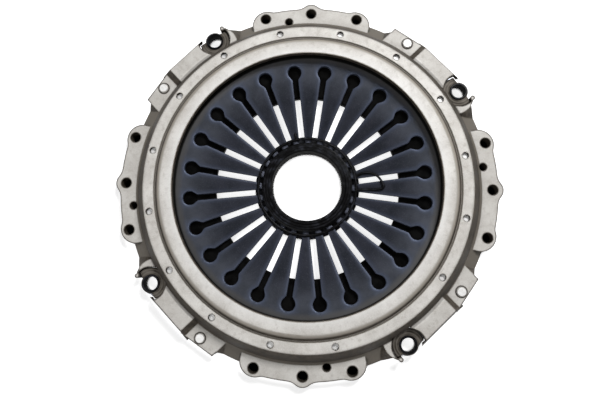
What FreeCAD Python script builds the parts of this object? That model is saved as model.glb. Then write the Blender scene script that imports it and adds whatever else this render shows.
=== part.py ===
# Clutch pressure plate: the cover assembly of a pull-type clutch for a 430 mm disc.
# Millimetres. The origin is on the clutch axis in the plane of the flywheel face, and +Z
# points to the gearbox. Bearings are degrees clockwise from +Y, seen from the gearbox.
# The assembly is drawn as it lies before fitting, with the diaphragm spring relaxed.

import FreeCAD, Part
import math
import os

Vector = FreeCAD.Vector

# Pressure plate, for a disc with a 240 mm inner edge
plate_outer_radius = 214.5
plate_bore_radius = 119.5
plate_thickness = 13.0
plate_bore_drop = 5.3
plate_chamfer = 1.8
plate_edge_chamfer = 6.0
plate_lift = 7.5
friction_face_height = 4.5
plate_back_height = friction_face_height + plate_thickness
plate_bore_height = plate_back_height - plate_bore_drop

# Clearances shared by several pieces
running_gap = 0.3
press_gap = 0.02
touch_gap = 0.05

# How far a cutter reaches past what it cuts, and the middle of a quarter round
cutter_margin = 1.0
round_middle = 1.0 - math.sqrt(0.5)

# Housing wall round the pressure plate
wall_gap = 1.3
wall_thickness = 3.9
wall_inner_radius = plate_outer_radius + wall_gap
wall_outer_radius = wall_inner_radius + wall_thickness

# Bolt flange
quadrants = 4
bolt_hole_diameter = 13.0
bolt_spread = 15.0
bolt_offset = 17.8
bolt_circle_radius = wall_outer_radius + bolt_offset
dowel_hole_diameter = 10.0
dowel_bearing = -7.5
dowel_inset = 10.0
dowel_circle_radius = bolt_circle_radius - dowel_inset
pad_thickness = 14.0
pad_margin = 7.0
pad_edge_radius = bolt_circle_radius + pad_margin
middle_lobe_wall = 7.0
middle_lobe_radius = bolt_hole_diameter / 2.0 + middle_lobe_wall
end_lobe_wall = 13.5
end_lobe_radius = bolt_hole_diameter / 2.0 + end_lobe_wall
end_lobe_inset = 9.3
middle_web_radius = 20.0
end_web_radius = 14.0
skirt_width = 17.8
skirt_radius = wall_outer_radius + skirt_width
skirt_edge_height = 5.0
skirt_rise_over_pad = 3.0
skirt_top_height = pad_thickness + skirt_rise_over_pad

# Diaphragm spring
fingers = 24
spring_margin = 17.8
spring_outer_radius = plate_outer_radius - spring_margin
spring_thickness = 5.0
spring_slope = 8.5
finger_bearing = 7.5
pivot_inset = 5.2
pivot_radius = spring_outer_radius - pivot_inset
pivot_rise = 13.0
pivot_height = plate_back_height + pivot_rise
short_arm = 29.0
fulcrum_radius = pivot_radius - short_arm
slot_width = 7.3
keyhole_inset = 11.5
keyhole_radius = fulcrum_radius - keyhole_inset
keyhole_diameter = 17.6
keyhole_taper_length = 1.0
keyhole_shoulder_angle = 45.0

# Fulcrum ring of the pressure plate
fulcrum_width = 6.0
fulcrum_gaps = 12
fulcrum_gap_angle = 4.0

# Pivot ring between the spring and the housing
pivot_wire_diameter = 3.0
groove_side_gap = 1.0
groove_half_width = pivot_wire_diameter / 2.0 + groove_side_gap
groove_wall = 1.1

# Housing ring and lip
pocket_gap = 1.7
pocket_radius = spring_outer_radius + pocket_gap
pocket_roof_height = pivot_height + pivot_wire_diameter / 2.0 + touch_gap
shelf_gap = 1.5
shelf_height = plate_back_height + plate_lift + shelf_gap
wall_inner_drop = plate_edge_chamfer + shelf_gap
wall_inner_height = shelf_height - wall_inner_drop
wall_slope_radius = wall_inner_radius - plate_edge_chamfer
shoulder_over_pad = 3.5
wall_shoulder_height = pad_thickness + shoulder_over_pad
ring_thickness = 4.95
ring_top_height = pocket_roof_height + ring_thickness
ring_fall = 1.1
ring_edge_height = ring_top_height - ring_fall
wall_bulge = 1.0
ring_corner_offset = 9.6
ring_corner_radius = pocket_radius + ring_corner_offset
crease_offset = 1.1
crease_radius = pivot_radius + crease_offset
crease_depth = 1.4
lip_width = 24.3
lip_inner_radius = crease_radius - lip_width
lip_under_rise = 3.75
lip_under_height = pocket_roof_height + lip_under_rise
lip_thickness = 8.1
lip_height = lip_under_height + lip_thickness
lip_shoulder_run = 9.0
lip_shoulder_radius = crease_radius - lip_shoulder_run
lip_fall = 0.9
lip_round = 2.0
lip_ramp_radius = pivot_radius - groove_half_width - groove_wall
lip_ramp_run = 1.8
lip_edge_height = lip_height - lip_round

# Centring pins around the spring
pin_count = 16
pin_first_bearing = 11.25
pin_missing_bearing = 146.25
pin_diameter = 8.0
pin_gap = 0.5
pin_circle_radius = spring_outer_radius + pin_gap + pin_diameter / 2.0
pin_recess = 5.0
pin_head_height = ring_top_height - pin_recess

# Tube rivets, which hold the straps to the lugs
tube_outer_diameter = 22.5
tube_wall = 2.65
tube_bore_diameter = tube_outer_diameter - tube_wall * 2.0
tube_neck_length = 8.0
tube_edge = 0.8
tube_relief_wall = 1.0
tube_relief_radius = tube_outer_diameter / 2.0 - tube_relief_wall
tube_flare_width = 3.25
tube_flare_diameter = tube_outer_diameter + tube_flare_width * 2.0
tube_flare_thickness = 1.3

# Lugs of the pressure plate and the notches they stand in
lug_offset = 19.5
lug_circle_radius = plate_outer_radius + lug_offset
lug_bearing = 56.5
lug_wall = 8.75
lug_radius = tube_outer_diameter / 2.0 + lug_wall
lug_edge_wall = 1.25
lug_boss_radius = tube_outer_diameter / 2.0 + lug_edge_wall
lug_shoulder = 6.0
lug_reach = lug_circle_radius + lug_shoulder
lug_rise = 2.3
lug_under_height = friction_face_height + lug_rise
lug_thickness = 10.0
lug_top_height = lug_under_height + lug_thickness
lug_neck_width = 22.0
tube_stand = 2.0
tube_top_height = lug_top_height + tube_stand
notch_gap = 1.0
notch_radius = lug_radius + notch_gap
notch_reach = lug_reach + notch_gap
mouth_gap = 4.5
notch_mouth_radius = lug_boss_radius + mouth_gap
lift_margin = 1.7
notch_window_height = lug_top_height + plate_lift + lift_margin
window_side_gap = 2.5
notch_window_width = lug_neck_width + window_side_gap * 2.0
window_reach = 4.3
notch_window_depth = wall_outer_radius + window_reach
rim_height = 20.5
rim_end_angle = 29.0
rim_end_width = 5.6
rim_end_radius = rim_end_width / 2.0
rim_offset = 9.1
rim_offset_angle = 75.0
rim_slope_run = 13.0

# Drive straps, with their bay under the bridge of the housing
strap_rivet_bearing = 33.5
strap_leaves = 3
leaf_thickness = 0.85
leaf_pitch = leaf_thickness + touch_gap
strap_width = 20.0
strap_eye_wall = 3.5
strap_eye_radius = tube_outer_diameter / 2.0 + strap_eye_wall
strap_eye_shoulder_angle = 56.6
strap_neck_run = 12.5
strap_flat_at_rivet = 17.0
strap_flat_at_lug = 22.0
bay_end_gap = 2.5
strap_seat_height = 9.0
bridge_under_height = lug_under_height + plate_lift + lift_margin
bridge_thickness = 8.0
bridge_height = bridge_under_height + bridge_thickness
strap_pad_thickness = 6.5
strap_pad_height = strap_seat_height + strap_pad_thickness
strap_pad_width = 9.0
strap_pad_reach = lug_circle_radius + strap_pad_width
bridge_foot_width = 11.0
bridge_foot_reach = lug_circle_radius + bridge_foot_width
bridge_foot_height = 8.0
bridge_draft = 6.0
bridge_top_reach = bridge_foot_reach - bridge_draft
strap_pad_bearing = 27.3
strap_pad_slope_run = 8.0
bridge_step_bearing = 37.2
bridge_bearing = 39.0

# Rivets and washers at the housing end of the straps
strap_rivet_diameter = 10.0
strap_hole_gap = 0.1
strap_hole_diameter = strap_rivet_diameter + strap_hole_gap * 2.0
strap_rivet_head_width = 1.3
strap_rivet_head_diameter = strap_rivet_diameter + strap_rivet_head_width * 2.0
strap_rivet_head_height = 3.0
strap_rivet_edge = 1.2
strap_rivet_foot_width = 3.0
strap_rivet_foot_diameter = strap_rivet_diameter + strap_rivet_foot_width * 2.0
strap_rivet_foot_height = 2.0
spotface_gap = 1.0
spotface_diameter = strap_rivet_head_diameter + spotface_gap * 2.0
spotface_depth = 0.8
strap_washer_width = 4.0
strap_washer_diameter = strap_rivet_diameter + strap_washer_width * 2.0
strap_washer_thickness = 2.0

# Release hub
hub_bore_radius = 45.2
sleeve_thickness = 5.2
sleeve_outer_radius = hub_bore_radius + sleeve_thickness
tip_gap = 1.1
spring_tip_radius = sleeve_outer_radius + tip_gap
bead_offset = 6.6
hub_bead_radius = sleeve_outer_radius + bead_offset
hub_bead_width = 4.0
hub_bead_rise = 0.14
hub_flange_width = 11.0
hub_flange_radius = hub_bead_radius + hub_flange_width
hub_flange_thickness = 3.9
hub_edge = 1.3
retainer_width = 6.4
retainer_radius = sleeve_outer_radius + retainer_width
retainer_height = 5.6
retainer_step_width = 3.1
retainer_step_radius = sleeve_outer_radius + retainer_step_width
retainer_step_over_middle = 1.0
retainer_edge = 0.8
sleeve_over_retainer = 1.5
cup_spring_thickness = 1.25
cup_spring_rise = 2.2
cup_spring_gap = 0.6
cup_spring_inner_radius = sleeve_outer_radius + cup_spring_gap
cup_spring_overhang = 1.7
cup_spring_outer_radius = retainer_radius + cup_spring_overhang

# Locking ring, a bent wire. The tail's points are (distance outside the ring along +X,
# distance along +Y).
lock_wire_diameter = 3.0
lock_ring_offset = 6.5
lock_ring_radius = hub_bead_radius + lock_ring_offset
lock_tail_rise = 0.16
lock_tail_points = [
    (-1.5, 13.7), (6.3, 18.6), (16.5, 20.0), (27.0, 15.0), (32.9, 7.0),
    (35.5, -0.6), (28.5, -2.6), (14.5, -2.7), (-0.3, -3.4),
]
lock_eye_bearing = -13.5
lock_eye_length = 7.5
lock_knob_ratio = 1.25


# Places and simple shapes

def at(radius, bearing, z=0.0):
    angle = math.radians(90.0 - bearing)
    return Vector(radius * math.cos(angle), radius * math.sin(angle), z)


def turned(shape, bearing):
    copy = shape.copy()
    copy.rotate(Vector(0, 0, 0), Vector(0, 0, 1), -bearing)
    return copy


def cylinder(radius, place, low, high):
    return Part.makeCylinder(radius, high - low, Vector(place.x, place.y, low))


def box(x_low, x_high, y_low, y_high, z_low, z_high):
    corner = Vector(x_low, y_low, z_low)
    return Part.makeBox(x_high - x_low, y_high - y_low, z_high - z_low, corner)


def section(start, *steps):
    # A closed outline of (radius, height) points; a step is a point or, for an arc, a pair
    # of its middle and its end.
    edges = []
    here = Vector(start[0], 0, start[1])
    for step in steps + (start,):
        if isinstance(step[0], tuple):
            middle = Vector(step[0][0], 0, step[0][1])
            end = Vector(step[1][0], 0, step[1][1])
            edges.append(Part.Arc(here, middle, end).toShape())
        else:
            end = Vector(step[0], 0, step[1])
            edges.append(Part.LineSegment(here, end).toShape())
        here = end
    return Part.Face(Part.Wire(edges))


def revolved(face):
    return face.revolve(Vector(0, 0, 0), Vector(0, 0, 1), 360)


def ring_sector(inner, outer, from_bearing, to_bearing, low, high):
    face = section((inner, low), (outer, low), (outer, high), (inner, high))
    solid = face.revolve(Vector(0, 0, 0), Vector(0, 0, 1), to_bearing - from_bearing)
    return turned(solid, to_bearing - 90.0)


def tangent_prism(bearing, points, near, far):
    # Points are (distance clockwise along the tangent, height); the prism runs from the
    # radius near to the radius far.
    corners = [Vector(along, near, z) for along, z in points]
    face = Part.Face(Part.makePolygon(corners + corners[:1]))
    return turned(face.extrude(Vector(0, far - near, 0)), bearing)


def radial_prism(bearing, points, start, end):
    # Points are (distance from the axis, height); the prism runs along the tangent.
    corners = [Vector(start, out, z) for out, z in points]
    face = Part.Face(Part.makePolygon(corners + corners[:1]))
    return turned(face.extrude(Vector(end - start, 0, 0)), bearing)


# A distance outside everything but the lobes of the flange
outside_radius = skirt_radius + lug_radius * 2.0


def four_of(shape):
    return [turned(shape, 90.0 * quadrant) for quadrant in range(quadrants)]


# Heights of the relaxed spring

def spring_top(radius):
    return pivot_height - (pivot_radius - radius) * math.tan(math.radians(spring_slope))


def spring_under(radius):
    return spring_top(radius) - spring_thickness / math.cos(math.radians(spring_slope))


# Place of the strap: a chord from the rivet to the lug

strap_bearing = (strap_rivet_bearing + lug_bearing) / 2.0
strap_half_angle = (lug_bearing - strap_rivet_bearing) / 2.0
strap_half_length = lug_circle_radius * math.sin(math.radians(strap_half_angle))
strap_chord_radius = lug_circle_radius * math.cos(math.radians(strap_half_angle))


def along_strap(bearing):
    return strap_chord_radius * math.tan(math.radians(bearing - strap_bearing))


# Housing

def lobe_web(lobe_place_radius, lobe_bearing, lobe_radius, web_radius, side):
    # Fills the corner between a round lobe and the pad's edge with a hollow arc.
    from_axis = pad_edge_radius + web_radius
    from_lobe = lobe_radius + web_radius
    cosine = (from_axis ** 2 + lobe_place_radius ** 2 - from_lobe ** 2) / (
        2.0 * from_axis * lobe_place_radius)
    bearing = lobe_bearing + side * math.degrees(math.acos(cosine))
    centre = at(from_axis, bearing)
    corners = [at(lobe_place_radius, lobe_bearing), centre, at(lobe_place_radius, bearing)]
    web = Part.Face(Part.makePolygon(corners + corners[:1])).extrude(
        Vector(0, 0, pad_thickness))
    return web.cut(cylinder(web_radius, centre, -cutter_margin,
                            pad_thickness + cutter_margin))


def flange_pad():
    pad = ring_sector(wall_inner_radius, pad_edge_radius, -bolt_spread, bolt_spread,
                      0.0, pad_thickness)
    middle = cylinder(middle_lobe_radius, at(bolt_circle_radius, 0.0), 0.0, pad_thickness)
    shapes = [middle]
    for side in (-1, 1):
        shapes.append(lobe_web(bolt_circle_radius, 0.0, middle_lobe_radius,
                               middle_web_radius, side))
    end_radius = bolt_circle_radius - end_lobe_inset
    end_angle = math.degrees(end_lobe_radius / end_radius)
    for side in (-1, 1):
        bearing = side * bolt_spread
        shapes.append(cylinder(end_lobe_radius, at(end_radius, bearing), 0.0, pad_thickness))
        low = min(bearing, bearing + side * end_angle)
        high = max(bearing, bearing + side * end_angle)
        shapes.append(ring_sector(wall_inner_radius, end_radius, low, high,
                                  0.0, pad_thickness))
        shapes.append(lobe_web(end_radius, bearing, end_lobe_radius, end_web_radius, -side))
    inner = cylinder(wall_inner_radius, Vector(), 0.0, pad_thickness)
    return pad.fuse(shapes).cut(inner)


def bridge_block():
    # The rivet pad with its sloping end, and the higher bridge with a drafted outside.
    reach = outside_radius
    start = along_strap(strap_pad_bearing)
    step_foot = along_strap(bridge_step_bearing)
    step_top = along_strap(bridge_bearing)
    end = along_strap(lug_bearing)
    pad_points = [(start, 0.0), (start, strap_pad_height), (step_top, strap_pad_height),
                  (step_top, 0.0)]
    pad = tangent_prism(strap_bearing, pad_points, pocket_radius, reach)
    pad = pad.common(turned(box(-reach, reach, 0.0, strap_pad_reach, 0.0, bridge_height),
                            strap_rivet_bearing))
    slope_points = [(start - strap_pad_slope_run, 0.0),
                    (start - strap_pad_slope_run, skirt_edge_height),
                    (start, strap_pad_height), (start, 0.0)]
    slope = tangent_prism(strap_bearing, slope_points, pocket_radius, reach)
    slope = slope.common(cylinder(skirt_radius, Vector(), 0.0, bridge_height))
    step_run = (step_top - step_foot) / (bridge_height - strap_pad_height)
    low = step_foot - step_run * strap_pad_height
    bridge_points = [(low, 0.0), (step_top, bridge_height), (end, bridge_height), (end, 0.0)]
    bridge = tangent_prism(strap_bearing, bridge_points, pocket_radius, reach)
    drafted = radial_prism(strap_bearing, (
        (0.0, 0.0), (bridge_foot_reach, 0.0), (bridge_foot_reach, bridge_foot_height),
        (bridge_top_reach, bridge_height), (0.0, bridge_height)), -reach, reach)
    inner = cylinder(wall_inner_radius, Vector(), 0.0, bridge_height)
    return bridge.common(drafted).fuse([pad, slope]).cut(inner)


def notch_rim():
    # Part of a rim round the notch, on the side away from the strap. It is widest at the
    # wall, curls in round the tube and ends in a round lobe; its outside slopes down to
    # the skirt.
    place = Vector(0, lug_circle_radius, 0)
    lean = math.radians(rim_offset_angle)
    centre = place + Vector(math.cos(lean), -math.sin(lean), 0) * rim_offset
    end = math.radians(rim_end_angle)
    rim_radius = notch_mouth_radius + rim_end_width - rim_offset * math.cos(end + lean)
    foot_radius = rim_radius + rim_slope_run
    slope = revolved(section(
        (0.0, 0.0), (foot_radius, 0.0), (foot_radius, skirt_edge_height),
        (rim_radius, rim_height), (0.0, rim_height)))
    slope.translate(centre)
    slope = slope.common(cylinder(skirt_radius, Vector(), 0.0, rim_height))
    reach = foot_radius + rim_offset
    sector = box(0.0, reach, lug_circle_radius - reach, lug_circle_radius, 0.0, rim_height)
    sector.rotate(place, Vector(0, 0, 1), rim_end_angle)
    lobe_place = place + Vector(math.cos(end), math.sin(end), 0) * (
        notch_mouth_radius + rim_end_radius)
    lobe = cylinder(rim_end_radius, lobe_place, 0.0, rim_height)
    collar = cylinder(rim_radius, centre, 0.0, rim_height).fuse(slope).common(sector)
    inner = cylinder(wall_inner_radius, Vector(), 0.0, rim_height)
    return turned(collar.fuse(lobe).cut(inner), lug_bearing)


def skirt():
    return revolved(section(
        (wall_inner_radius, 0.0), (skirt_radius, 0.0), (skirt_radius, skirt_edge_height),
        (wall_outer_radius, skirt_top_height), (wall_inner_radius, skirt_top_height)))


def ring_and_lip():
    crease_height = ring_top_height - crease_depth
    lip_foot = (crease_radius - crease_depth, crease_height + lip_round / 2.0)
    lip_shoulder = (lip_shoulder_radius, lip_height - lip_fall)
    lip_bend = ((lip_foot[0] + lip_shoulder[0]) / 2.0 + lip_fall,
                (lip_foot[1] + lip_shoulder[1]) / 2.0 + lip_fall)
    wall_middle = ((wall_outer_radius + ring_corner_radius) / 2.0 + wall_bulge,
                   (wall_shoulder_height + ring_edge_height) / 2.0 + wall_bulge / 2.0)
    return revolved(section(
        (wall_inner_radius, skirt_edge_height),
        (wall_outer_radius, skirt_edge_height),
        (wall_outer_radius, wall_shoulder_height),
        (wall_middle, (ring_corner_radius, ring_edge_height)),
        (crease_radius + crease_depth, ring_top_height),
        (crease_radius, crease_height),
        lip_foot,
        (lip_bend, lip_shoulder),
        (lip_inner_radius + lip_round, lip_height),
        ((lip_inner_radius + lip_round * round_middle, lip_height - lip_round * round_middle),
         (lip_inner_radius, lip_edge_height)),
        (lip_inner_radius, lip_under_height + lip_round),
        (lip_inner_radius + lip_round, lip_under_height),
        (lip_ramp_radius - lip_ramp_run, lip_under_height - lip_round / 2.0),
        (lip_ramp_radius, pocket_roof_height),
        (pocket_radius, pocket_roof_height),
        (pocket_radius, shelf_height),
        (wall_slope_radius, shelf_height),
        (wall_inner_radius, wall_inner_height)))


def lug_notch(high):
    # Round room for the lug, and a narrower mouth beyond it for the tube.
    place = Vector(0, lug_circle_radius, 0)
    room = cylinder(notch_radius, place, -cutter_margin, high)
    room = room.common(cylinder(notch_reach, Vector(), -cutter_margin, high))
    mouth = cylinder(notch_mouth_radius, place, -cutter_margin, high)
    return turned(room.fuse(mouth), lug_bearing)


def lug_window():
    half = notch_window_width / 2.0
    return turned(box(-half, half, pocket_radius, notch_window_depth,
                      -cutter_margin, notch_window_height), lug_bearing)


def strap_bay():
    start = -strap_half_length - strap_width / 2.0 - bay_end_gap
    seat_end = along_strap(bridge_step_bearing)
    rise = bridge_under_height - strap_seat_height
    end = strap_half_length
    low = -cutter_margin
    points = [(start, low), (start, strap_seat_height), (seat_end, strap_seat_height),
              (seat_end + rise, bridge_under_height), (end, bridge_under_height), (end, low)]
    return tangent_prism(strap_bearing, points, pocket_radius, outside_radius)


def pivot_wire_height():
    wire_radius = pivot_wire_diameter / 2.0
    return pivot_height + touch_gap + wire_radius / math.cos(math.radians(spring_slope))


def pivot_groove():
    half = groove_half_width
    roof = pivot_wire_height() + pivot_wire_diameter / 2.0 + running_gap
    return revolved(section(
        (pivot_radius - half, shelf_height), (pivot_radius + half, shelf_height),
        (pivot_radius + half, roof), (pivot_radius - half, roof)))


def pin_bearings():
    step = 360.0 / pin_count
    bearings = [pin_first_bearing + step * number for number in range(pin_count)]
    return [bearing for bearing in bearings if bearing != pin_missing_bearing]


def housing():
    flange = skirt().fuse(four_of(flange_pad()) + four_of(bridge_block())
                          + four_of(notch_rim()))
    flange = flange.cut(four_of(lug_notch(bridge_height + cutter_margin)))
    upper = ring_and_lip().cut(four_of(lug_notch(notch_window_height)))
    body = flange.fuse(upper)
    cutters = four_of(lug_window()) + four_of(strap_bay())
    for quadrant in range(quadrants):
        middle = 90.0 * quadrant
        for bearing in (middle - bolt_spread, middle, middle + bolt_spread):
            cutters.append(cylinder(bolt_hole_diameter / 2.0, at(bolt_circle_radius, bearing),
                                    -cutter_margin, pad_thickness + cutter_margin))
        cutters.append(cylinder(dowel_hole_diameter / 2.0,
                                at(dowel_circle_radius, middle + dowel_bearing),
                                -cutter_margin, skirt_top_height))
        rivet_place = at(lug_circle_radius, middle + strap_rivet_bearing)
        cutters.append(cylinder(strap_rivet_diameter / 2.0 + press_gap, rivet_place,
                                0.0, strap_pad_height + cutter_margin))
        cutters.append(cylinder(spotface_diameter / 2.0, rivet_place,
                                strap_pad_height - spotface_depth,
                                strap_pad_height + cutter_margin))
    for bearing in pin_bearings():
        cutters.append(cylinder(pin_diameter / 2.0 + press_gap,
                                at(pin_circle_radius, bearing), 0.0, lip_height))
    cutters.append(pivot_groove())
    return body.cut(cutters).removeSplitter()


# Spring, pivot ring and centring pins

def keyhole():
    half_slot = slot_width / 2.0
    half_head = keyhole_diameter / 2.0
    slot = box(-half_slot, half_slot, 0.0, keyhole_radius, 0.0, lip_height)
    head = cylinder(half_head, Vector(0, keyhole_radius, 0), 0.0, lip_height)
    shoulder_angle = math.radians(keyhole_shoulder_angle)
    side = half_head * math.cos(shoulder_angle)
    shoulder = keyhole_radius - half_head * math.sin(shoulder_angle)
    neck = keyhole_radius - half_head - keyhole_taper_length
    corners = [Vector(-half_slot, neck, 0), Vector(half_slot, neck, 0),
               Vector(side, shoulder, 0), Vector(-side, shoulder, 0)]
    taper = Part.Face(Part.makePolygon(corners + corners[:1])).extrude(
        Vector(0, 0, lip_height))
    return slot.fuse([head, taper])


def diaphragm_spring():
    cone = revolved(section(
        (spring_tip_radius, spring_under(spring_tip_radius)),
        (spring_outer_radius, spring_under(spring_outer_radius)),
        (spring_outer_radius, spring_top(spring_outer_radius)),
        (spring_tip_radius, spring_top(spring_tip_radius))))
    step = 360.0 / fingers
    cutter = keyhole()
    slots = [turned(cutter, finger_bearing + step * number) for number in range(fingers)]
    return cone.cut(slots)


def pivot_ring():
    return Part.makeTorus(pivot_radius, pivot_wire_diameter / 2.0,
                          Vector(0, 0, pivot_wire_height()))


def centring_pins():
    pins = [cylinder(pin_diameter / 2.0, at(pin_circle_radius, bearing),
                     shelf_height, pin_head_height) for bearing in pin_bearings()]
    return Part.makeCompound(pins)


# Pressure plate

def lug():
    half = lug_neck_width / 2.0
    neck = box(-half, half, plate_outer_radius - lug_thickness, lug_circle_radius,
               lug_under_height, lug_top_height)
    ear = cylinder(lug_radius, Vector(0, lug_circle_radius, 0), lug_under_height,
                   lug_top_height)
    reach = cylinder(lug_reach, Vector(), lug_under_height, lug_top_height)
    boss = cylinder(lug_boss_radius, Vector(0, lug_circle_radius, 0), lug_under_height,
                    lug_top_height)
    hole = cylinder(tube_outer_diameter / 2.0 + press_gap,
                    Vector(0, lug_circle_radius, 0), 0.0, lip_height)
    return turned(neck.fuse(ear).common(reach).fuse(boss).cut(hole), lug_bearing)


def pressure_plate():
    fulcrum_top = spring_under(fulcrum_radius) - running_gap
    half = fulcrum_width / 2.0
    rib_side = fulcrum_top - half / 2.0
    ring = revolved(section(
        (plate_bore_radius, friction_face_height),
        (plate_outer_radius, friction_face_height),
        (plate_outer_radius, plate_back_height - plate_edge_chamfer),
        (plate_outer_radius - plate_edge_chamfer, plate_back_height),
        (fulcrum_radius + half, plate_back_height),
        (fulcrum_radius + half, rib_side),
        ((fulcrum_radius, fulcrum_top), (fulcrum_radius - half, rib_side)),
        (fulcrum_radius - half, plate_back_height),
        (plate_bore_radius + plate_chamfer, plate_bore_height),
        (plate_bore_radius, plate_bore_height - plate_chamfer)))
    gaps = []
    for number in range(fulcrum_gaps):
        bearing = 360.0 / fulcrum_gaps * number
        gaps.append(ring_sector(fulcrum_radius - fulcrum_width, fulcrum_radius + fulcrum_width,
                                bearing - fulcrum_gap_angle / 2.0,
                                bearing + fulcrum_gap_angle / 2.0,
                                plate_back_height, lip_height))
    return ring.cut(gaps).fuse(four_of(lug()))


# Drive straps and their fasteners

lug_leaf_top = lug_under_height - running_gap
seat_leaf_top = strap_seat_height - touch_gap


def strap_leaf(number):
    # Leaf 0 is the one against the housing seat and the lug.
    drop = leaf_pitch * number
    rivet_along = -strap_half_length
    lug_along = strap_half_length
    half = strap_width / 2.0
    start = rivet_along - half - cutter_margin
    bend_1 = rivet_along + strap_flat_at_rivet
    bend_2 = lug_along - strap_flat_at_lug
    end = lug_along + strap_eye_radius + cutter_margin
    seat = seat_leaf_top - drop
    low = lug_leaf_top - drop
    points = [(start, seat), (bend_1, seat), (bend_2, low), (end, low),
              (end, low - leaf_thickness), (bend_2, low - leaf_thickness),
              (bend_1, seat - leaf_thickness), (start, seat - leaf_thickness)]
    near = strap_chord_radius - strap_eye_radius - cutter_margin
    far = strap_chord_radius + strap_eye_radius + cutter_margin
    sheet = tangent_prism(0.0, points, near, far)
    floor = -pad_thickness
    bar = box(rivet_along, lug_along, strap_chord_radius - half, strap_chord_radius + half,
              floor, lip_height)
    rivet_end = cylinder(half, Vector(rivet_along, strap_chord_radius, 0), floor, lip_height)
    eye = cylinder(strap_eye_radius, Vector(lug_along, strap_chord_radius, 0),
                   floor, lip_height)
    shoulder_angle = math.radians(strap_eye_shoulder_angle)
    shoulder = lug_along - strap_eye_radius * math.cos(shoulder_angle)
    side = strap_eye_radius * math.sin(shoulder_angle)
    cheek = shoulder - strap_neck_run
    corners = [Vector(cheek, strap_chord_radius - half, floor),
               Vector(shoulder, strap_chord_radius - side, floor),
               Vector(shoulder, strap_chord_radius + side, floor),
               Vector(cheek, strap_chord_radius + half, floor)]
    taper = Part.Face(Part.makePolygon(corners + corners[:1])).extrude(
        Vector(0, 0, lip_height - floor))
    plan = bar.fuse([rivet_end, eye, taper])
    rivet_hole = cylinder(strap_hole_diameter / 2.0,
                          Vector(rivet_along, strap_chord_radius, 0), floor, lip_height)
    tube_hole = cylinder(tube_outer_diameter / 2.0 + running_gap,
                         Vector(lug_along, strap_chord_radius, 0), floor, lip_height)
    return turned(sheet.common(plan).cut([rivet_hole, tube_hole]), strap_bearing)


pack_bottom = seat_leaf_top - leaf_pitch * (strap_leaves - 1) - leaf_thickness
washer_top = pack_bottom - touch_gap
washer_bottom = washer_top - strap_washer_thickness


def strap_rivet():
    radius = strap_rivet_diameter / 2.0
    head = strap_rivet_head_diameter / 2.0
    foot = strap_rivet_foot_diameter / 2.0
    seat = strap_pad_height - spotface_depth
    top = seat + strap_rivet_head_height
    bottom = washer_bottom - strap_rivet_foot_height
    rim = strap_rivet_edge
    solid = revolved(section(
        (0.0, bottom), (foot - rim, bottom), (foot, bottom + rim), (foot, washer_bottom),
        (radius, washer_bottom), (radius, seat), (head, seat), (head, top - rim),
        (head - rim, top), (0.0, top)))
    solid.translate(at(lug_circle_radius, strap_rivet_bearing))
    return solid


def strap_washer():
    place = at(lug_circle_radius, strap_rivet_bearing)
    plate = cylinder(strap_washer_diameter / 2.0, place, washer_bottom, washer_top)
    hole = cylinder(strap_hole_diameter / 2.0, place, washer_bottom, washer_top)
    return plate.cut(hole)


def tube_rivet():
    outer = tube_outer_diameter / 2.0
    bore = tube_bore_diameter / 2.0
    flare = tube_flare_diameter / 2.0
    pack_low = lug_leaf_top - leaf_pitch * (strap_leaves - 1) - leaf_thickness
    flare_top = pack_low - running_gap
    flare_bottom = flare_top - tube_flare_thickness
    edge = tube_edge
    neck_bottom = tube_top_height - tube_neck_length
    solid = revolved(section(
        (tube_relief_radius, flare_bottom), (flare, flare_bottom), (flare, flare_top),
        (outer, flare_top), (outer, tube_top_height - edge), (outer - edge, tube_top_height),
        (bore + edge, tube_top_height), (bore, tube_top_height - edge), (bore, neck_bottom),
        (tube_relief_radius, neck_bottom - edge)))
    solid.translate(at(lug_circle_radius, lug_bearing))
    return solid


# Release hub

cup_spring_low = spring_top(cup_spring_outer_radius) + running_gap
cup_spring_high = cup_spring_low + cup_spring_thickness + cup_spring_rise
retainer_low = cup_spring_high + touch_gap
retainer_high = retainer_low + retainer_height
sleeve_top_height = retainer_high + sleeve_over_retainer


def thrust_collar():
    bead_top = spring_under(hub_bead_radius) - running_gap
    flange_top = bead_top - hub_bead_rise
    hub_foot_height = flange_top - hub_flange_thickness
    half = hub_bead_width / 2.0
    edge = hub_edge
    return revolved(section(
        (hub_bore_radius, hub_foot_height),
        (hub_flange_radius - edge, hub_foot_height),
        (hub_flange_radius, hub_foot_height + edge),
        (hub_flange_radius, flange_top - edge / 2.0),
        (hub_flange_radius - edge, flange_top),
        (hub_bead_radius + half, flange_top),
        ((hub_bead_radius, bead_top), (hub_bead_radius - half, flange_top)),
        (sleeve_outer_radius + edge / 2.0, flange_top - edge),
        (sleeve_outer_radius, flange_top),
        (sleeve_outer_radius, sleeve_top_height - edge),
        (sleeve_outer_radius - edge, sleeve_top_height),
        (hub_bore_radius + edge, sleeve_top_height),
        (hub_bore_radius, sleeve_top_height - edge)))


def cup_spring():
    return revolved(section(
        (cup_spring_inner_radius, cup_spring_high - cup_spring_thickness),
        (cup_spring_outer_radius, cup_spring_low),
        (cup_spring_outer_radius, cup_spring_low + cup_spring_thickness),
        (cup_spring_inner_radius, cup_spring_high)))


def retainer_collar():
    inner = sleeve_outer_radius + press_gap
    step = (retainer_high + retainer_low) / 2.0 + retainer_step_over_middle
    edge = retainer_edge
    return revolved(section(
        (inner, retainer_low), (retainer_radius, retainer_low),
        (retainer_radius, step - edge), (retainer_radius - edge, step),
        (retainer_step_radius, step), (retainer_step_radius, retainer_high - edge),
        (retainer_step_radius - edge, retainer_high), (inner, retainer_high)))


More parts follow.
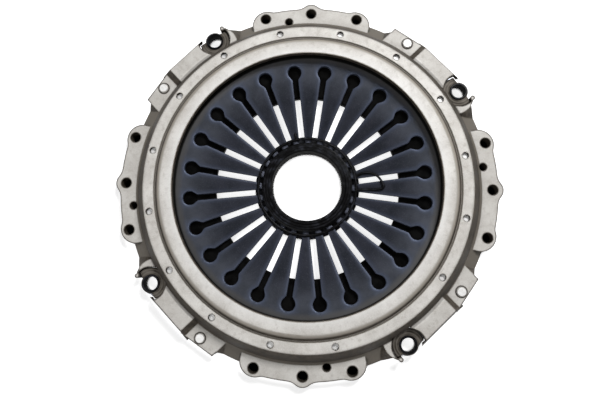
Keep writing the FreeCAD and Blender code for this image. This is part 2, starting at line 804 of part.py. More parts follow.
def round_path(points):
    # Straight runs joined by tangent arcs, as a bent wire.
    edges = []
    here = points[0]
    for before, corner, after in zip(points, points[1:], points[2:]):
        to_before = before - corner
        to_after = after - corner
        reach = 0.45 * min(to_before.Length, to_after.Length)
        arc_start = corner + to_before.normalize() * reach
        arc_end = corner + to_after.normalize() * reach
        turn = math.acos(max(-1.0, min(1.0, -to_before.dot(to_after))))
        radius = reach / math.tan(turn / 2.0)
        inward = (to_before + to_after).normalize()
        middle = corner + inward * (radius / math.cos(turn / 2.0) - radius)
        edges.append(Part.LineSegment(here, arc_start).toShape())
        edges.append(Part.Arc(arc_start, middle, arc_end).toShape())
        here = arc_end
    edges.append(Part.LineSegment(here, points[-1]).toShape())
    return Part.Wire(edges)


def wire_along(points, diameter):
    path = round_path(points)
    start = points[0]
    direction = points[1] - points[0]
    end_face = Part.Wire(Part.Circle(start, direction, diameter / 2.0).toShape())
    return path.makePipeShell([end_face], True, True)


def locking_ring():
    wire_radius = lock_wire_diameter / 2.0
    slope = math.cos(math.radians(spring_slope))
    height = spring_top(lock_ring_radius) + running_gap + wire_radius / slope
    ring = Part.makeTorus(lock_ring_radius, wire_radius, Vector(0, 0, height))
    first_out = lock_tail_points[0][0]
    points = [Vector(lock_ring_radius + out, y, height + (out - first_out) * lock_tail_rise)
              for out, y in lock_tail_points]
    tail = wire_along(points, lock_wire_diameter)
    eye = Part.makeCylinder(wire_radius, lock_eye_length,
                            at(lock_ring_radius, lock_eye_bearing, height),
                            at(1.0, lock_eye_bearing) + Vector(0, 0, lock_tail_rise))
    eye_end = at(lock_ring_radius + lock_eye_length, lock_eye_bearing,
                 height + lock_eye_length * lock_tail_rise)
    knob = Part.makeSphere(wire_radius * lock_knob_ratio, eye_end)
    return ring.fuse([tail, eye, knob])


def save(name, shape):
    shape.exportStep(os.path.join("parts", name + ".step"))


os.makedirs("parts", exist_ok=True)
save("housing", housing())
save("diaphragm_spring", diaphragm_spring())
save("pivot_ring", pivot_ring())
save("centring_pins", centring_pins())
save("pressure_plate", pressure_plate())
for leaf_number in range(strap_leaves):
    for place_number, leaf in enumerate(four_of(strap_leaf(leaf_number))):
        save("strap_%d_leaf_%d" % (place_number + 1, leaf_number + 1), leaf)
save("strap_rivets", Part.makeCompound(four_of(strap_rivet())))
save("strap_washers", Part.makeCompound(four_of(strap_washer())))
for place_number, tube in enumerate(four_of(tube_rivet())):
    save("tube_rivet_%d" % (place_number + 1), tube)
save("thrust_collar", thrust_collar())
save("cup_spring", cup_spring())
save("retainer_collar", retainer_collar())
save("locking_ring", locking_ring())
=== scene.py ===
# Clutch pressure plate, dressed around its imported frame.
# Lengths are numbers of millimetres, times MM where Blender wants metres. Only the floor and
# the lights are given in metres. Bearings are degrees clockwise from +Y, seen from the
# gearbox side.

import math
import bpy
import bmesh
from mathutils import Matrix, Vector


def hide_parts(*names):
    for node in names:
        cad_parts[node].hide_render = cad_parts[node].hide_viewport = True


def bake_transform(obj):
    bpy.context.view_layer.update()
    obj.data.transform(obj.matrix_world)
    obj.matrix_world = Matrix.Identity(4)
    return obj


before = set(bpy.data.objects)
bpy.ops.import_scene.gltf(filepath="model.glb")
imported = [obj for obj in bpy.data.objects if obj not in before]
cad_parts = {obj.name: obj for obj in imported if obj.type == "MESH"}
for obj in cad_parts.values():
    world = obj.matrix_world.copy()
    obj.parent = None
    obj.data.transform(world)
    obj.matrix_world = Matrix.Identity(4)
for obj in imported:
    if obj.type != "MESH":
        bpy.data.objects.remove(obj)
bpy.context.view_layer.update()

MM = 0.001
quadrants = 4
full_turn = 360.0
quarter_turn = 90.0

# Camera, fitted to the twelve bolt holes and the rings of the photograph
camera_place = (16.34, -104.14, 650.03)
camera_turn = (7.763, 2.049, 1.468)
camera_lens = 29.838
camera_sensor = 36.0
camera_near = 10.0

# Floor and lights, in metres and watts
floor_reach = 12.0
key_place = (0.45, 0.75, 1.15)
key_size = 0.5
key_power = 17.0
fill_place = (-0.50, -0.50, 1.15)
fill_size = 1.2
fill_power = 6.5

# Glow of the floor under the part and round it, and strength of the sky between two
# heights of the line of sight
floor_glow_under = 0.78
floor_glow_round = 0.50
sky_low = 0.04
sky_high = 0.35
sky_strength_low = 0.55
sky_strength_high = 0.10

# Painted shade: black spots on the floor, under the bolt and dowel holes
spot_height = 0.2
spot_corners = 32
bolt_spot = 7.5
dowel_spot = 6.0

# Radius round a tube rivet's middle within which the floor has no painted contact shadow and
# stays white
tube_white = 9.5

# Pressure plate and housing, as in the solids
plate_outer_radius = 214.5
lip_inner = 168.3
crease_radius = 192.6
ring_corner = 208.0
wall_outer = 219.7
bolt_circle = 237.5
bolt_spread = 15.0
dowel_circle = 227.5
dowel_bearing = -7.5
flange_edge = 251.0
lug_circle = 234.0
lug_bearing = 56.5
lug_top = 16.8

# Spring, as in the solid, cut at a seam into its rim and its fingers, and the bead of the
# hub that bears on the fingers
finger_count = 24
half_pitch = full_turn / 2.0 / finger_count
spring_outer = 196.7
spring_tip = 51.5
spring_thickness = 5.0
spring_slope = 8.5
pivot_radius = 191.5
pivot_height = 30.5
seam_radius = 176.0
hub_bead_radius = 57.0
slot_half = 3.65
keyhole_centre = 151.0
keyhole_half = 8.8
keyhole_taper = 1.0
keyhole_shoulder = 45.0
shoulder_turn = math.radians(keyhole_shoulder)
shoulder_place = keyhole_centre - keyhole_half * math.sin(shoulder_turn)
shoulder_half = keyhole_half * math.cos(shoulder_turn)
neck_place = keyhole_centre - keyhole_half - keyhole_taper

# Drive straps, with the ends of their bend measured from the middle
leaf_count = 3
strap_bearing = 45.0
strap_half_length = 46.65
strap_chord = 229.3
strap_middle_height = 7.5

# Stretches of a finger from its tip outwards, of the rim behind it and of a strap's leaf
slot_steps = 16
neck_steps = 6
keyhole_steps = 15
heel_steps = 5
rim_steps = 8
leaf_steps = 24

# Distance within which a cut takes a point as its own
cut_tolerance = 0.001

# Edges of the fingers: the chamfer, the drop of the rounding and where its rows lie
edge_chamfer = 0.6
least_chamfer = 0.04
edge_round = 0.35
round_share = 0.25
edge_insets = (0.0, 1.2, 3.0, 6.0)
inset_limit = 0.8

# How far the worn edge with its painted glint and the blue halo reach from a slot
edge_reach = 2.6
halo_reach = 6.0

# Shading, with the range that most of a noise lies in
noise_range = (0.3, 0.7)
sharp_angle = 32.0
occlusion_samples = 8
bevel_samples = 6
turning_pitch = 3.4


# Places

def at(radius, bearing, z=0.0):
    angle = math.radians(bearing)
    return Vector((radius * math.sin(angle), radius * math.cos(angle), z)) * MM


def finger_bearing(number):
    return number * full_turn / finger_count


def tube_places(z=0.0):
    # The middles of the four tube rivets.
    return [at(lug_circle, lug_bearing + quarter_turn * n, z) for n in range(quadrants)]


def spring_top(radius):
    return pivot_height - (pivot_radius - radius) * math.tan(math.radians(spring_slope))


def spring_under(radius):
    return spring_top(radius) - spring_thickness / math.cos(math.radians(spring_slope))


# Node helpers

class Look:
    # A material whose node tree is written with a few short calls.

    # Width in millimetres over which edges are softened by shading
    edge = 0.8

    def __init__(self, name, colour, metallic, roughness):
        self.material = bpy.data.materials.new(name)
        self.material.use_nodes = True
        self.nodes = self.material.node_tree.nodes
        self.links = self.material.node_tree.links
        self.shader = next(n for n in self.nodes if n.type == "BSDF_PRINCIPLED")
        self.shader.inputs["Base Color"].default_value = (*colour, 1.0)
        self.shader.inputs["Metallic"].default_value = metallic
        self.shader.inputs["Roughness"].default_value = roughness
        self.place = self.nodes.new("ShaderNodeTexCoord").outputs["Object"]

    def node(self, kind, **values):
        node = self.nodes.new(kind)
        for name, value in values.items():
            setattr(node, name, value)
        return node

    def specular(self, level):
        self.shader.inputs["Specular IOR Level"].default_value = level

    def noise(self, size, detail=4.0, rough=0.55):
        # Clouds of a size in millimetres.
        node = self.node("ShaderNodeTexNoise")
        node.inputs["Scale"].default_value = 1.0 / (size * MM)
        node.inputs["Detail"].default_value = detail
        node.inputs["Roughness"].default_value = rough
        self.links.new(self.place, node.inputs["Vector"])
        return node.outputs["Fac"]

    def maths(self, operation, first, second=None, clamp=False):
        node = self.node("ShaderNodeMath", operation=operation, use_clamp=clamp)
        for socket, value in zip(node.inputs, (first, second)):
            if value is None:
                continue
            if isinstance(value, (int, float)):
                socket.default_value = value
            else:
                self.links.new(value, socket)
        return node.outputs[0]

    def spread(self, value, low, high, to_low=0.0, to_high=1.0):
        # A smooth step from to_low at low to to_high at high.
        node = self.node("ShaderNodeMapRange", interpolation_type="SMOOTHSTEP")
        self.links.new(value, node.inputs["Value"])
        for name, number in (("From Min", low), ("From Max", high),
                             ("To Min", to_low), ("To Max", to_high)):
            node.inputs[name].default_value = number
        return node.outputs["Result"]

    def blend(self, factor, first, second):
        node = self.node("ShaderNodeMix", data_type="RGBA")
        colours = [s for s in node.inputs if s.type == "RGBA"]
        if isinstance(factor, (int, float)):
            node.inputs[0].default_value = factor
        else:
            self.links.new(factor, node.inputs[0])
        for socket, value in zip(colours, (first, second)):
            if isinstance(value, tuple):
                socket.default_value = (*value, 1.0)
            else:
                self.links.new(value, socket)
        return next(s for s in node.outputs if s.type == "RGBA")

    def attribute(self, name):
        return self.node("ShaderNodeAttribute", attribute_name=name).outputs["Fac"]

    def crevice(self, reach):
        # One in the open, falling towards nought in corners and gaps.
        node = self.node("ShaderNodeAmbientOcclusion", samples=occlusion_samples)
        node.inputs["Distance"].default_value = reach * MM
        return node.outputs["AO"]

    def body(self, reach):
        # One well inside the metal, falling towards an outer edge.
        node = self.node("ShaderNodeAmbientOcclusion", samples=occlusion_samples, inside=True)
        node.inputs["Distance"].default_value = reach * MM
        return node.outputs["AO"]

    def softened(self, width):
        # The normal with its edges rounded over a width in millimetres.
        bevel = self.node("ShaderNodeBevel", samples=bevel_samples)
        bevel.inputs["Radius"].default_value = width * MM
        return bevel.outputs["Normal"]

    def flatness(self, width):
        # One where the softened surface lies level, falling to nought where it is upright.
        normal = self.softened(width)
        split = self.node("ShaderNodeSeparateXYZ")
        self.links.new(normal, split.inputs[0])
        return self.maths("ABSOLUTE", split.outputs["Z"])

    def from_axis(self):
        # Distance from the clutch axis in millimetres.
        split = self.node("ShaderNodeSeparateXYZ")
        self.links.new(self.place, split.inputs[0])
        across = self.maths("MULTIPLY", split.outputs["X"], split.outputs["X"])
        along = self.maths("MULTIPLY", split.outputs["Y"], split.outputs["Y"])
        return self.maths("DIVIDE", self.maths("SQRT", self.maths("ADD", across, along)), MM)

    def nearest(self, points):
        # Distance in millimetres from the nearest of the points.
        least = None
        for point in points:
            node = self.node("ShaderNodeVectorMath", operation="DISTANCE")
            self.links.new(self.place, node.inputs[0])
            node.inputs[1].default_value = point
            away = node.outputs["Value"]
            least = self.maths("MINIMUM", least, away) if least else away
        return self.maths("DIVIDE", least, MM)

    def colour(self, value):
        self.links.new(value, self.shader.inputs["Base Color"])

    def rough(self, value):
        self.links.new(value, self.shader.inputs["Roughness"])

    def relief(self, *layers):
        # Layers are (height, depth in millimetres); the edges are softened first.
        normal = self.softened(self.edge)
        for height, depth in layers:
            bump = self.node("ShaderNodeBump")
            bump.inputs["Strength"].default_value = 1.0
            bump.inputs["Distance"].default_value = depth * MM
            self.links.new(height, bump.inputs["Height"])
            self.links.new(normal, bump.inputs["Normal"])
            normal = bump.outputs["Normal"]
        self.links.new(normal, self.shader.inputs["Normal"])


# Materials

def cast_metal():
    # Blasted and pale where it lies level, with painted shade on its slopes and walls, painted
    # shade towards the crease, over the ring's outer corner, at the wall's foot, along the
    # flange's outline and in crevices, and a painted highlight along the lip's inner edge.
    dull = (0.56, 0.535, 0.50)
    pale = (0.72, 0.70, 0.665)
    patch_tone = (0.43, 0.40, 0.36)
    light_speck = (0.84, 0.825, 0.80)
    dark_speck = (0.36, 0.33, 0.29)
    flange_tone = (0.30, 0.285, 0.26)
    lip_highlight_tone = (0.84, 0.835, 0.825)
    crease_shade_tone = (0.11, 0.092, 0.072)
    dark_slope_shade = (0.030, 0.023, 0.016)
    light_slope_shade = (0.085, 0.070, 0.055)
    lip_side = (0.34, 0.31, 0.27)
    ring_side = (0.16, 0.143, 0.12)
    wall_foot_shade_tone = (0.03, 0.025, 0.02)
    outline_shade_tone = (0.06, 0.05, 0.04)
    shade_tone = (0.05, 0.042, 0.033)
    lip_crevice_shade = (0.075, 0.065, 0.052)
    ring_crevice_shade = (0.016, 0.012, 0.009)

    look = Look("cast_metal", (0.68, 0.66, 0.63), metallic=0.05, roughness=0.6)
    look.specular(0.25)
    mottle = look.noise(34.0, detail=5.0, rough=0.62)
    patches = look.noise(7.0, detail=4.0, rough=0.6)
    grain = look.noise(1.3, detail=3.0, rough=0.7)
    level = look.blend(look.spread(mottle, 0.32, 0.70), dull, pale)
    level = look.blend(look.spread(patches, 0.48, 0.78, 0.0, 0.7), level, patch_tone)
    level = look.blend(look.spread(grain, 0.45, 0.80, 0.0, 0.55), level, light_speck)
    level = look.blend(look.spread(grain, 0.15, 0.45, 0.55, 0.0), level, dark_speck)
    radius = look.from_axis()
    flange = look.spread(radius, wall_outer, wall_outer + 4.0, 0.0, 0.25)
    level = look.blend(flange, level, flange_tone)
    # Painted shade towards the crease and over the ring's outer corner
    crease = look.maths("MULTIPLY", look.spread(radius, crease_radius - 13.0, crease_radius),
                        look.spread(radius, crease_radius, crease_radius + 1.5, 1.0, 0.0))
    corner = look.maths("MULTIPLY", look.spread(radius, ring_corner - 4.0, ring_corner + 3.0),
                        look.spread(radius, ring_corner + 5.0, ring_corner + 8.0, 1.0, 0.0))
    # Painted highlight: the lip lighter towards its inner edge
    painted_lip_highlight = look.spread(radius, lip_inner, lip_inner + 16.0, 0.5, 0.0)
    level = look.blend(painted_lip_highlight, level, lip_highlight_tone)
    painted_crease_shade = look.maths("ADD", crease, corner, clamp=True)
    level = look.blend(look.maths("MULTIPLY", painted_crease_shade, 0.45), level, crease_shade_tone)

    # Painted shade on the slopes and walls under the level faces, lighter on the lip's side of
    # the crease
    slope_shade = look.blend(look.spread(patches, *noise_range), dark_slope_shade, light_slope_shade)
    flat = look.flatness(2.6)
    past_crease = look.spread(radius, crease_radius + 1.0, crease_radius + 4.0)
    side = look.blend(past_crease, lip_side, ring_side)
    slope = look.blend(look.spread(flat, 0.62, 0.90), slope_shade, side)
    tone = look.blend(look.spread(flat, 0.90, 0.995), slope, level)
    # Painted shade at the foot of the ring's outer wall
    foot = look.maths("MULTIPLY", look.spread(radius, ring_corner, wall_outer - 3.0),
                      look.spread(radius, wall_outer - 0.7, wall_outer + 1.3, 1.0, 0.0))
    tone = look.blend(look.maths("MULTIPLY", foot, 0.45), tone, wall_foot_shade_tone)

    # Painted shade along the flange's outer outline, wide painted shade from occlusion, and
    # painted shade in crevices
    outline = look.maths("MULTIPLY", look.spread(look.body(2.8), 0.62, 0.86, 0.85, 0.0),
                         look.spread(radius, wall_outer + 3.0, wall_outer + 8.0))
    tone = look.blend(outline, tone, outline_shade_tone)
    shade = look.spread(look.crevice(22.0), 0.35, 0.90)
    tone = look.blend(shade, look.blend(0.55, tone, shade_tone), tone)
    # Painted shade in crevices, darker past the crease
    crevice_shade = look.spread(look.crevice(7.0), 0.30, 0.80)
    crevice_shade_tone = look.blend(past_crease, lip_crevice_shade, ring_crevice_shade)
    look.colour(look.blend(crevice_shade, crevice_shade_tone, tone))
    look.rough(look.spread(patches, *noise_range, 0.52, 0.66))
    look.edge = 1.2
    look.relief((grain, 0.20), (patches, 0.25))
    return look.material


def turned_iron():
    # Dark grey with turning marks on the lugs and painted shade on its upright faces, painted
    # shade black under the spring, and painted shade in crevices.
    dark_grey = (0.045, 0.039, 0.032)
    mid_grey = (0.125, 0.112, 0.097)
    line_grey = (0.19, 0.172, 0.15)
    side_shade_black = (0.010, 0.008, 0.006)
    under_spring_shade_black = (0.001, 0.001, 0.001)
    under_spring_shade_grey = (0.005, 0.005, 0.005)
    crevice_shade_black = (0.005, 0.004, 0.004)

    look = Look("turned_iron", (0.06, 0.055, 0.05), metallic=0.1, roughness=0.5)
    look.specular(0.02)
    radius = look.from_axis()
    outer = look.spread(radius, plate_outer_radius - 2.0, plate_outer_radius)
    from_tube = look.nearest(tube_places(lug_top))
    wave = look.maths("SINE", look.maths("MULTIPLY", from_tube, math.tau / turning_pitch))
    turning = look.spread(wave, -0.2, 0.9)
    mottle = look.noise(12.0)
    grain = look.noise(0.9, detail=2.0)
    grey = look.blend(look.spread(mottle, *noise_range), dark_grey, mid_grey)
    grey = look.blend(look.maths("MULTIPLY", turning, 0.5), grey, line_grey)
    # Painted shade on the upright faces
    grey = look.blend(look.spread(look.flatness(0.8), 0.6, 0.95), side_shade_black, grey)
    # Painted shade: near black inside the plate's outer edge, under the spring
    black = look.blend(look.spread(mottle, *noise_range), under_spring_shade_black, under_spring_shade_grey)
    tone = look.blend(outer, black, grey)
    # Painted shade in crevices
    crevice_shade = look.spread(look.crevice(5.0), 0.25, 0.85)
    look.colour(look.blend(crevice_shade, crevice_shade_black, tone))
    look.rough(look.spread(grain, *noise_range, 0.40, 0.55))
    look.relief((grain, 0.05))
    return look.material


def spring_steel():
    # Grey after heat treatment, darker towards the hub, with pale fingertips, a painted
    # reflection of the lip just inside it, a blue halo and worn edges with a painted glint round
    # each slot, painted shade under the lip and painted shade in crevices.
    outer_dark = (0.038, 0.042, 0.053)
    outer_light = (0.062, 0.068, 0.085)
    inner_dark = (0.011, 0.013, 0.019)
    inner_light = (0.022, 0.024, 0.034)
    tip_tone = (0.25, 0.27, 0.35)
    lip_reflection_tone = (0.095, 0.090, 0.083)
    outer_blue = (0.062, 0.080, 0.130)
    inner_blue = (0.026, 0.030, 0.046)
    worn_edge_glint_tone = (0.12, 0.135, 0.18)
    speck_tone = (0.10, 0.105, 0.12)
    under_lip_shade_tone = (0.005, 0.005, 0.004)
    crevice_shade_black = (0.003, 0.003, 0.003)

    look = Look("spring_steel", (0.05, 0.053, 0.062), metallic=0.5, roughness=0.45)
    look.specular(0.15)
    cloud = look.noise(30.0, detail=5.0, rough=0.6)
    grain = look.noise(1.2, detail=3.0, rough=0.65)
    inward = look.attribute("inward")
    halo = look.attribute("halo")
    edge = look.attribute("edge")
    outer = look.blend(look.spread(cloud, *noise_range), outer_dark, outer_light)
    inner = look.blend(look.spread(cloud, *noise_range), inner_dark, inner_light)
    tone = look.blend(look.spread(inward, 0.10, 0.55), outer, inner)
    tone = look.blend(look.spread(inward, 0.93, 0.965), tone, tip_tone)
    radius = look.from_axis()
    # Painted reflection of the lip, warm, on the spring just inside it
    painted_lip_reflection = look.spread(radius, lip_inner - 10.0, lip_inner - 2.0, 0.0, 0.6)
    tone = look.blend(painted_lip_reflection, tone, lip_reflection_tone)
    blue = look.blend(look.spread(inward, 0.05, 0.75), outer_blue, inner_blue)
    tone = look.blend(look.maths("MULTIPLY", halo, 0.80), tone, blue)
    # Worn edges round each slot, made lighter as a painted glint
    tone = look.blend(look.maths("MULTIPLY", edge, 0.35), tone, worn_edge_glint_tone)
    tone = look.blend(look.spread(grain, 0.50, 0.80, 0.0, 0.35), tone, speck_tone)
    # Painted shade: black under the lip
    in_light = look.spread(radius, lip_inner - 1.0, lip_inner + 1.0, 1.0, 0.0)
    tone = look.blend(in_light, under_lip_shade_tone, tone)
    # Painted shade in crevices
    crevice_shade = look.spread(look.crevice(9.0), 0.25, 0.85)
    look.colour(look.blend(crevice_shade, crevice_shade_black, tone))
    look.rough(look.spread(grain, *noise_range, 0.40, 0.55))
    look.edge = 0.3
    look.relief((grain, 0.05))
    return look.material


def black_steel(name, roughness=0.32):
    # Black oxide, worn a little on what lies level, with painted shade on its upright faces.
    unworn = (0.003, 0.003, 0.0035)
    rubbed = (0.022, 0.024, 0.032)
    side_shade_black = (0.0015, 0.0015, 0.0015)

    look = Look(name, (0.012, 0.012, 0.014), metallic=0.0, roughness=roughness)
    look.specular(0.12)
    wear = look.noise(9.0, detail=5.0, rough=0.6)
    grain = look.noise(0.8, detail=2.0)
    worn = look.blend(look.spread(wear, 0.45, 0.75), unworn, rubbed)
    # Painted shade on the upright faces
    level = look.spread(look.flatness(0.5), 0.45, 0.92)
    look.colour(look.blend(level, side_shade_black, worn))
    polish = look.spread(wear, *noise_range, roughness - 0.06, roughness + 0.12)
    on_sides = look.spread(level, 0.0, 1.0, 0.5, 0.0)
    look.rough(look.maths("ADD", polish, on_sides, clamp=True))
    look.edge = 0.4
    look.relief((grain, 0.03))
    return look.material


def bright_steel(name, rim_shade_tone):
    # Bare heads of pins and rivets, with painted shade on the rim.
    dull = (0.84, 0.83, 0.81)
    clear = (0.97, 0.965, 0.96)

    look = Look(name, (0.90, 0.89, 0.87), metallic=0.1, roughness=0.42)
    wear = look.noise(3.0)
    face = look.blend(look.spread(wear, 0.35, 0.7), dull, clear)
    # Painted shade on the rim
    rim = look.spread(look.flatness(0.6), 0.60, 0.97)
    look.colour(look.blend(rim, rim_shade_tone, face))
    look.rough(look.spread(wear, *noise_range, 0.36, 0.50))
    look.edge = 0.5
    look.relief((wear, 0.10))
    return look.material


def strap_steel():
    # Bare spring steel of the leaves and of the pivot ring.
    dark = (0.16, 0.17, 0.20)
    light = (0.30, 0.31, 0.34)

    look = Look("strap_steel", (0.22, 0.23, 0.26), metallic=0.85, roughness=0.34)
    wear = look.noise(7.0)
    look.colour(look.blend(look.spread(wear, *noise_range), dark, light))
    look.edge = 0.2
    look.relief((wear, 0.03))
    return look.material


def floor_white():
    # White and glowing, more under the part than round it, with a thin painted contact shadow,
    # unlit by the glow, where the flange stands on it, and none inside the tube rivets.
    white = (0.86, 0.86, 0.86)
    contact_shadow_tone = (0.02, 0.018, 0.015)

    look = Look("floor_white", white, metallic=0.0, roughness=0.9)
    # Painted contact shadow, left out inside the tube rivets
    contact_shadow_mask = look.spread(look.crevice(6.0), 0.50, 0.64)
    in_tube = look.spread(look.nearest(tube_places()), tube_white - 0.5, tube_white, 1.0, 0.0)
    contact_shadow_mask = look.maths("MAXIMUM", contact_shadow_mask, in_tube)
    look.colour(look.blend(contact_shadow_mask, contact_shadow_tone, white))
    look.shader.inputs["Emission Color"].default_value = (1.0, 1.0, 1.0, 1.0)
    glow = look.spread(look.from_axis(), flange_edge - 5.0, flange_edge + 3.0,
                       floor_glow_under, floor_glow_round)
    look.links.new(look.maths("MULTIPLY", contact_shadow_mask, glow), look.shader.inputs["Emission Strength"])
    return look.material


def hole_shade_black():
    # Nearly black and a little mottled, for the painted shade spots under the holes.
    deep = (0.001, 0.001, 0.001)
    mottled_shade = (0.004, 0.004, 0.003)

    look = Look("hole_shade_black", (0.002, 0.002, 0.002), metallic=0.0, roughness=0.9)
    look.specular(0.0)
    shade_mottle = look.noise(2.0, detail=3.0)
    look.colour(look.blend(look.spread(shade_mottle, 0.4, 0.8), deep, mottled_shade))
    return look.material


# Meshes

def new_piece(name, points, faces, material):
    mesh = bpy.data.meshes.new(name)
    mesh.from_pydata([tuple(p) for p in points], [], faces)
    mesh.validate()
    work = bmesh.new()
    work.from_mesh(mesh)
    bmesh.ops.recalc_face_normals(work, faces=work.faces)
    work.to_mesh(mesh)
    work.free()
    for polygon in mesh.polygons:
        polygon.use_smooth = True
    mesh.set_sharp_from_angle(angle=math.radians(sharp_angle))
    mesh.materials.append(material)
    return linked(name, mesh)


def linked(name, data):
    # An object in the scene that holds a mesh, a light or the camera.
    piece = bpy.data.objects.new(name, data)
    bpy.context.scene.collection.objects.link(piece)
    return piece


def lofted(loops):
    # Points and faces of a closed solid through loops of equal length.
    points = [p for loop in loops for p in loop]
    count = len(loops[0])
    faces = [tuple(reversed(range(count)))]
    for row in range(len(loops) - 1):
        for column in range(count):
            after = (column + 1) % count
            faces.append((row * count + column, row * count + after,
                          (row + 1) * count + after, (row + 1) * count + column))
    faces.append(tuple(range((len(loops) - 1) * count, len(loops) * count)))
    return points, faces


# Diaphragm spring, in 24 sectors: an outer stretch and a finger each, cut at a seam.

def slot_half_width(along):
    # Half the gap at a distance along the slot, from the tip out to the keyhole's far side.
    half = slot_half if along <= keyhole_centre else 0.0
    if neck_place < along <= shoulder_place:
        half = max(half, slot_half + (shoulder_half - slot_half) * (along - neck_place)
                   / (shoulder_place - neck_place))
    across = keyhole_half ** 2 - (along - keyhole_centre) ** 2
    if across > 0.0:
        half = max(half, math.sqrt(across))
    return half


def slot_distance(radius, angle):
    # Distance in millimetres from a point of the spring to the nearest slot or keyhole.
    from_slot = math.radians(half_pitch - abs(angle))
    along = radius * math.cos(from_slot)
    aside = radius * math.sin(from_slot)
    to_head = math.hypot(along - keyhole_centre, aside) - keyhole_half
    to_slot = aside - slot_half_width(min(along, keyhole_centre - keyhole_half))
    if along > keyhole_centre:
        return to_head
    return min(to_head, to_slot)


def sector_loop(bearing, radius, half_angle, chamfer, lip=0.0, rounded=0.0):
    # Points round one cross-section of a sector, the top first, from left to right.
    top = spring_top(radius) - lip
    under = spring_under(radius) + lip
    start = half_angle - math.degrees(chamfer / radius)
    insets = [math.degrees(inset / radius) for inset in edge_insets]
    narrow = min(1.0, inset_limit * start / insets[-1])
    side = [start - inset * narrow for inset in insets]
    middle = side[-1] / 3.0
    angles = side + [middle, -middle] + [-a for a in reversed(side)]
    level = [0.0] * (len(angles) - 4)
    drops = [rounded, rounded * round_share] + level + [rounded * round_share, rounded]
    loop = [at(radius, bearing - a, top - drop) for a, drop in zip(angles, drops)]
    loop += [at(radius, bearing + half_angle, top - rounded - chamfer),
             at(radius, bearing + half_angle, under + chamfer)]
    loop += [at(radius, bearing + a, under) for a in angles]
    loop += [at(radius, bearing - half_angle, under + chamfer),
             at(radius, bearing - half_angle, top - rounded - chamfer)]
    return loop


def nearness(away, reach):
    # One at a slot, falling to nought at the reach.
    return max(0.0, min(1.0, 1.0 - away / reach))


def mark_spring(piece, bearing):
    # How near each point is to a slot, and how far in towards the hub.
    mesh = piece.data
    edge = mesh.attributes.new("edge", "FLOAT", "POINT")
    halo = mesh.attributes.new("halo", "FLOAT", "POINT")
    inward = mesh.attributes.new("inward", "FLOAT", "POINT")
    half_turn = full_turn / 2.0
    for vertex in mesh.vertices:
        x = vertex.co.x / MM
        y = vertex.co.y / MM
        radius = math.hypot(x, y)
        angle = math.degrees(math.atan2(x, y)) - bearing
        angle = (angle + half_turn) % full_turn - half_turn
        away = slot_distance(radius, angle)
        edge.data[vertex.index].value = nearness(away, edge_reach)
        halo.data[vertex.index].value = nearness(away, halo_reach)
        inward.data[vertex.index].value = ((seam_radius - radius)
                                           / (seam_radius - hub_bead_radius))


def finger_stations():
    # Distances along the slot, closer together round the keyhole.
    stations = [spring_tip + (neck_place - spring_tip) * step / slot_steps
                for step in range(slot_steps + 1)]
    stations += [neck_place + (shoulder_place - neck_place) * step / neck_steps
                 for step in range(1, neck_steps + 1)]
    for step in range(1, keyhole_steps + 1):
        turn = (quarter_turn + keyhole_shoulder) * step / keyhole_steps
        angle = math.radians(-keyhole_shoulder + turn)
        stations.append(keyhole_centre + keyhole_half * math.sin(angle))
    heel = keyhole_centre + keyhole_half
    stations += [heel + (seam_radius - heel) * step / heel_steps
                 for step in range(1, heel_steps + 1)]
    return stations


def finger(number, material):
    bearing = finger_bearing(number)
    loops = []
    for order, along in enumerate(finger_stations()):
        half = slot_half_width(along)
        radius = math.hypot(along, half)
        half_angle = half_pitch - math.degrees(math.atan2(half, along))
        share = min(1.0, half / slot_half)
        chamfer = max(least_chamfer, edge_chamfer * share)
        rounded = edge_round * share
        if order == 0:
            loops.append(sector_loop(bearing, radius, half_angle, chamfer, edge_chamfer, rounded))
            radius += edge_chamfer
        loops.append(sector_loop(bearing, radius, half_angle, chamfer, 0.0, rounded))
    points, faces = lofted(loops)
    piece = new_piece("spring_finger_%02d" % (number + 1), points, faces, material)
    mark_spring(piece, bearing)
    return piece


def spring_rim(number, material):
    bearing = finger_bearing(number)
    loops = [sector_loop(bearing, seam_radius + (spring_outer - seam_radius) * step / rim_steps,
                         half_pitch, least_chamfer) for step in range(rim_steps + 1)]
    points, faces = lofted(loops)
    piece = new_piece("spring_rim_%02d" % (number + 1), points, faces, material)
    mark_spring(piece, bearing)
    return piece


def diaphragm_spring():
    material = spring_steel()
    for number in range(finger_count):
        arm = finger(number, material)
        rim = spring_rim(number, material)
        if number == 0:
            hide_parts("diaphragm_spring")
        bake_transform(arm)
        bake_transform(rim)


# Drive straps: each leaf keeps the outline of its solid, cut into short stretches
# between the housing and the lug.

def drive_straps():
    material = strap_steel()
    for strap in range(quadrants):
        bearing = strap_bearing + quarter_turn * strap
        angle = math.radians(bearing)
        along = Vector((math.cos(angle), -math.sin(angle), 0.0))
        middle = at(strap_chord, bearing, strap_middle_height)
        for number in range(leaf_count):
            node = "strap_%d_leaf_%d" % (strap + 1, number + 1)
            work = bmesh.new()
            work.from_mesh(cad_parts[node].data)
            for step in range(leaf_steps + 1):
                share = 2.0 * step / leaf_steps - 1.0
                place = middle + along * strap_half_length * MM * share
                bmesh.ops.bisect_plane(work, geom=work.verts[:] + work.edges[:] + work.faces[:],
                                       dist=cut_tolerance * MM, plane_co=place, plane_no=along)
            mesh = bpy.data.meshes.new(node + "_bent")
            work.to_mesh(mesh)
            work.free()
            mesh.materials.clear()
            mesh.materials.append(material)
            piece = linked("drive_" + node, mesh)
            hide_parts(node)
            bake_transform(piece)


# CAD nodes that keep their shape

def dress(nodes, material):
    for name in nodes:
        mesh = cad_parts[name].data
        mesh.materials.clear()
        mesh.materials.append(material)


# Camera, lights, floor and sky

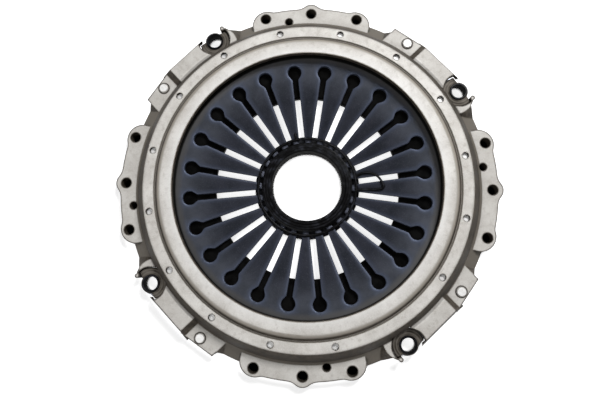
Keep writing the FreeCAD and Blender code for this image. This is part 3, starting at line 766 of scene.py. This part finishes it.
def camera():
    data = bpy.data.cameras.new("camera")
    data.sensor_width = camera_sensor
    data.lens = camera_lens
    data.clip_start = camera_near * MM
    piece = linked("camera", data)
    piece.location = Vector(camera_place) * MM
    piece.rotation_euler = [math.radians(a) for a in camera_turn]
    bpy.context.scene.camera = piece


def soft_light(name, place, size, power):
    # A round light that faces the origin.
    data = bpy.data.lights.new(name, "AREA")
    data.shape = "DISK"
    data.size = size
    data.energy = power
    piece = linked(name, data)
    piece.location = place
    aim = -Vector(place)
    piece.rotation_euler = aim.to_track_quat("-Z", "Y").to_euler()


def hole_shade_spots():
    # Painted shade: black spots on the floor, under the bolt and dowel holes only.
    points = []
    faces = []
    spots = []
    for quadrant in range(quadrants):
        middle = quarter_turn * quadrant
        spots += [(bolt_circle, middle + side * bolt_spread, bolt_spot) for side in (-1, 0, 1)]
        spots.append((dowel_circle, middle + dowel_bearing, dowel_spot))
    for radius, bearing, size in spots:
        centre = at(radius, bearing, spot_height)
        first = len(points)
        points += [centre + at(size, full_turn * step / spot_corners)
                   for step in range(spot_corners)]
        faces.append(tuple(range(first, first + spot_corners)))
    return new_piece("hole_shade_spots", points, faces, hole_shade_black())


def sky():
    # White, and paler towards the horizon, where views from the side see it.
    world = bpy.data.worlds.new("studio")
    world.use_nodes = True
    tree = world.node_tree
    background = next(n for n in tree.nodes if n.type == "BACKGROUND")
    background.inputs["Color"].default_value = (1.0, 1.0, 1.0, 1.0)
    direction = tree.nodes.new("ShaderNodeTexCoord").outputs["Generated"]
    split = tree.nodes.new("ShaderNodeSeparateXYZ")
    tree.links.new(direction, split.inputs[0])
    strength = tree.nodes.new("ShaderNodeMapRange")
    tree.links.new(split.outputs["Z"], strength.inputs["Value"])
    for name, number in (("From Min", sky_low), ("From Max", sky_high),
                         ("To Min", sky_strength_low), ("To Max", sky_strength_high)):
        strength.inputs[name].default_value = number
    tree.links.new(strength.outputs["Result"], background.inputs["Strength"])
    bpy.context.scene.world = world


def studio():
    corners = [(-floor_reach, -floor_reach, 0), (floor_reach, -floor_reach, 0),
               (floor_reach, floor_reach, 0), (-floor_reach, floor_reach, 0)]
    floor = new_piece("floor", corners, [(0, 1, 2, 3)], floor_white())
    hole_shade_spots()
    sky()
    soft_light("key", key_place, key_size, key_power)
    soft_light("fill", fill_place, fill_size, fill_power)


dress(["housing"], cast_metal())
dress(["pressure_plate"], turned_iron())
dress(["pivot_ring"], strap_steel())
dress(["centring_pins"], bright_steel("pin_steel", (0.06, 0.05, 0.04)))
dress(["strap_rivets", "strap_washers"], bright_steel("rivet_steel", (0.34, 0.32, 0.29)))
dress(["tube_rivet_%d" % (n + 1) for n in range(quadrants)], black_steel("tube_black"))
dress(["thrust_collar", "retainer_collar", "cup_spring"], black_steel("hub_black"))
dress(["locking_ring"], black_steel("wire_black", 0.4))
diaphragm_spring()
drive_straps()
camera()
studio()

bpy.context.scene.view_settings.view_transform = "Standard"
